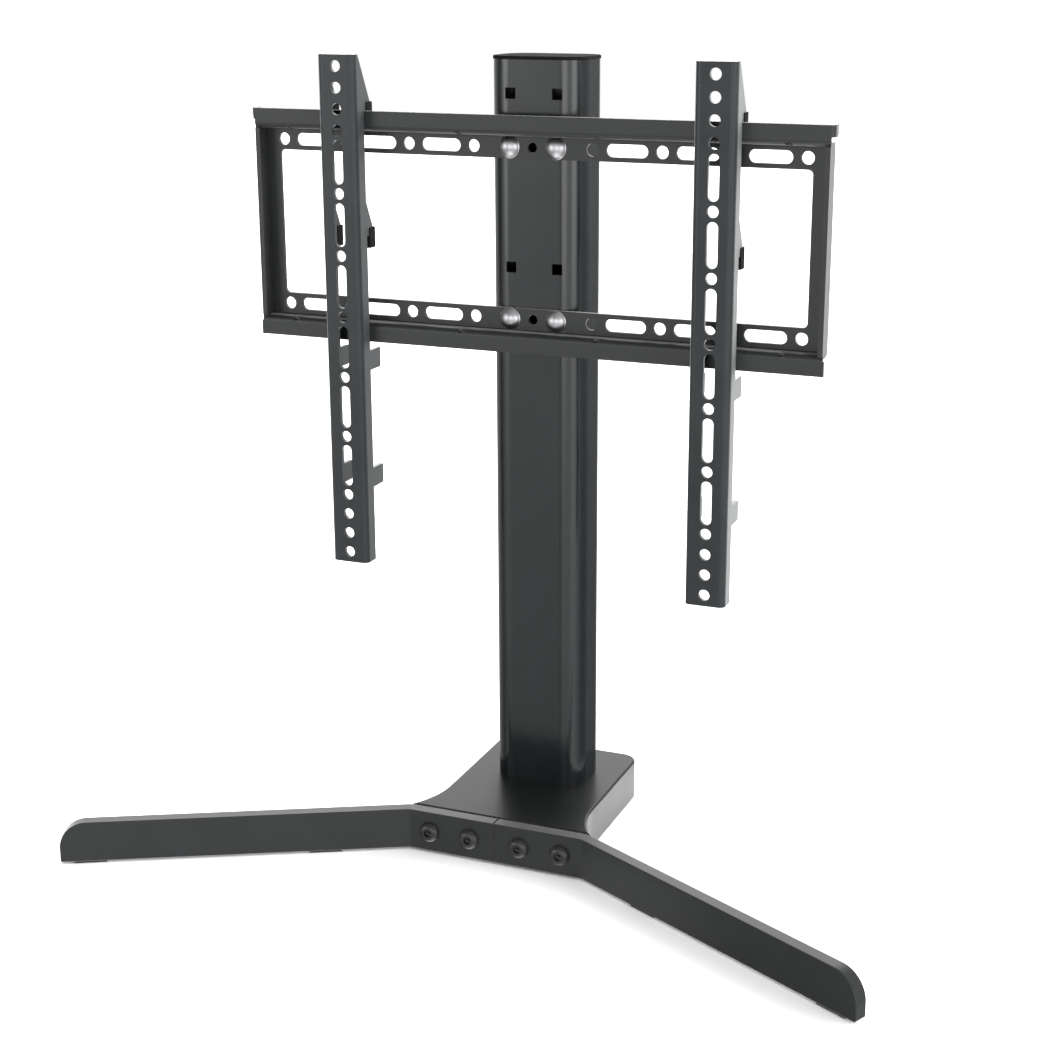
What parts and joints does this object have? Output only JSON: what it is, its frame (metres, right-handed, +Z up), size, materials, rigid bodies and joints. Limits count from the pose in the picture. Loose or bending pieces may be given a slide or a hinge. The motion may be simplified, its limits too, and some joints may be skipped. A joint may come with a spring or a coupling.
{
  "type": "tabletop television stand",
  "caption": "Tabletop television stand: a flat column on a low base with two splayed legs carries a slotted wall plate, on which slotted hook-on channel arms slide sideways.",
  "frame": {"origin": "bottom centre of the bounding box: on the table, under the pads, midway between left and right tips and midway between the leg tips and the base's back", "axes": "+Z up, +X to the right seen from the front, -Y towards the viewer, where the television hangs"},
  "size_m": [0.6702, 0.3056, 0.6428],
  "materials": {
    "powder_coat": "fine textured semi-matt black powder coat",
    "satin_coat": "satin black powder coat",
    "black_bolts": "black oxide, slightly glossy",
    "bright_bolts": "bright nickel plate",
    "zinc_screws": "zinc plated, satin",
    "black_plastic": "matt black moulded plastic",
    "rubber": "matt black rubber"
  },
  "bodies": {
    "stand": {"base_cover": "satin_coat", "base_bottom_plate": "powder_coat", "base_plate_screws": "zinc_screws", "base_pads": "rubber", "left_leg": "powder_coat", "right_leg": "powder_coat", "left_leg_bolts": "black_bolts", "right_leg_bolts": "black_bolts", "left_nut_bar": "zinc_screws", "right_nut_bar": "zinc_screws", "left_leg_pads": "rubber", "right_leg_pads": "rubber", "column_tube": "satin_coat", "column_cap": "black_plastic", "column_foot": "zinc_screws", "column_bolts": "zinc_screws", "television_plate": "powder_coat", "upper_carriage_bolts": "bright_bolts", "lower_carriage_bolts": "bright_bolts", "upper_clamp_bar": "powder_coat", "lower_clamp_bar": "powder_coat", "upper_flange_nuts": "zinc_screws", "lower_flange_nuts": "zinc_screws"},
    "left_slider": {"left_arm": "powder_coat", "left_hook_sleeves": "black_plastic"},
    "right_slider": {"right_arm": "powder_coat", "right_hook_sleeves": "black_plastic"}
  },
  "joints": [
    {"name": "left_arm_slide", "type": "slide", "parent": "stand", "child": "left_slider", "axis": [1, 0, 0], "range_m": [-0.061, 0.106]},
    {"name": "right_arm_slide", "type": "slide", "parent": "stand", "child": "right_slider", "axis": [1, 0, 0], "range_m": [-0.106, 0.061]}
  ]
}
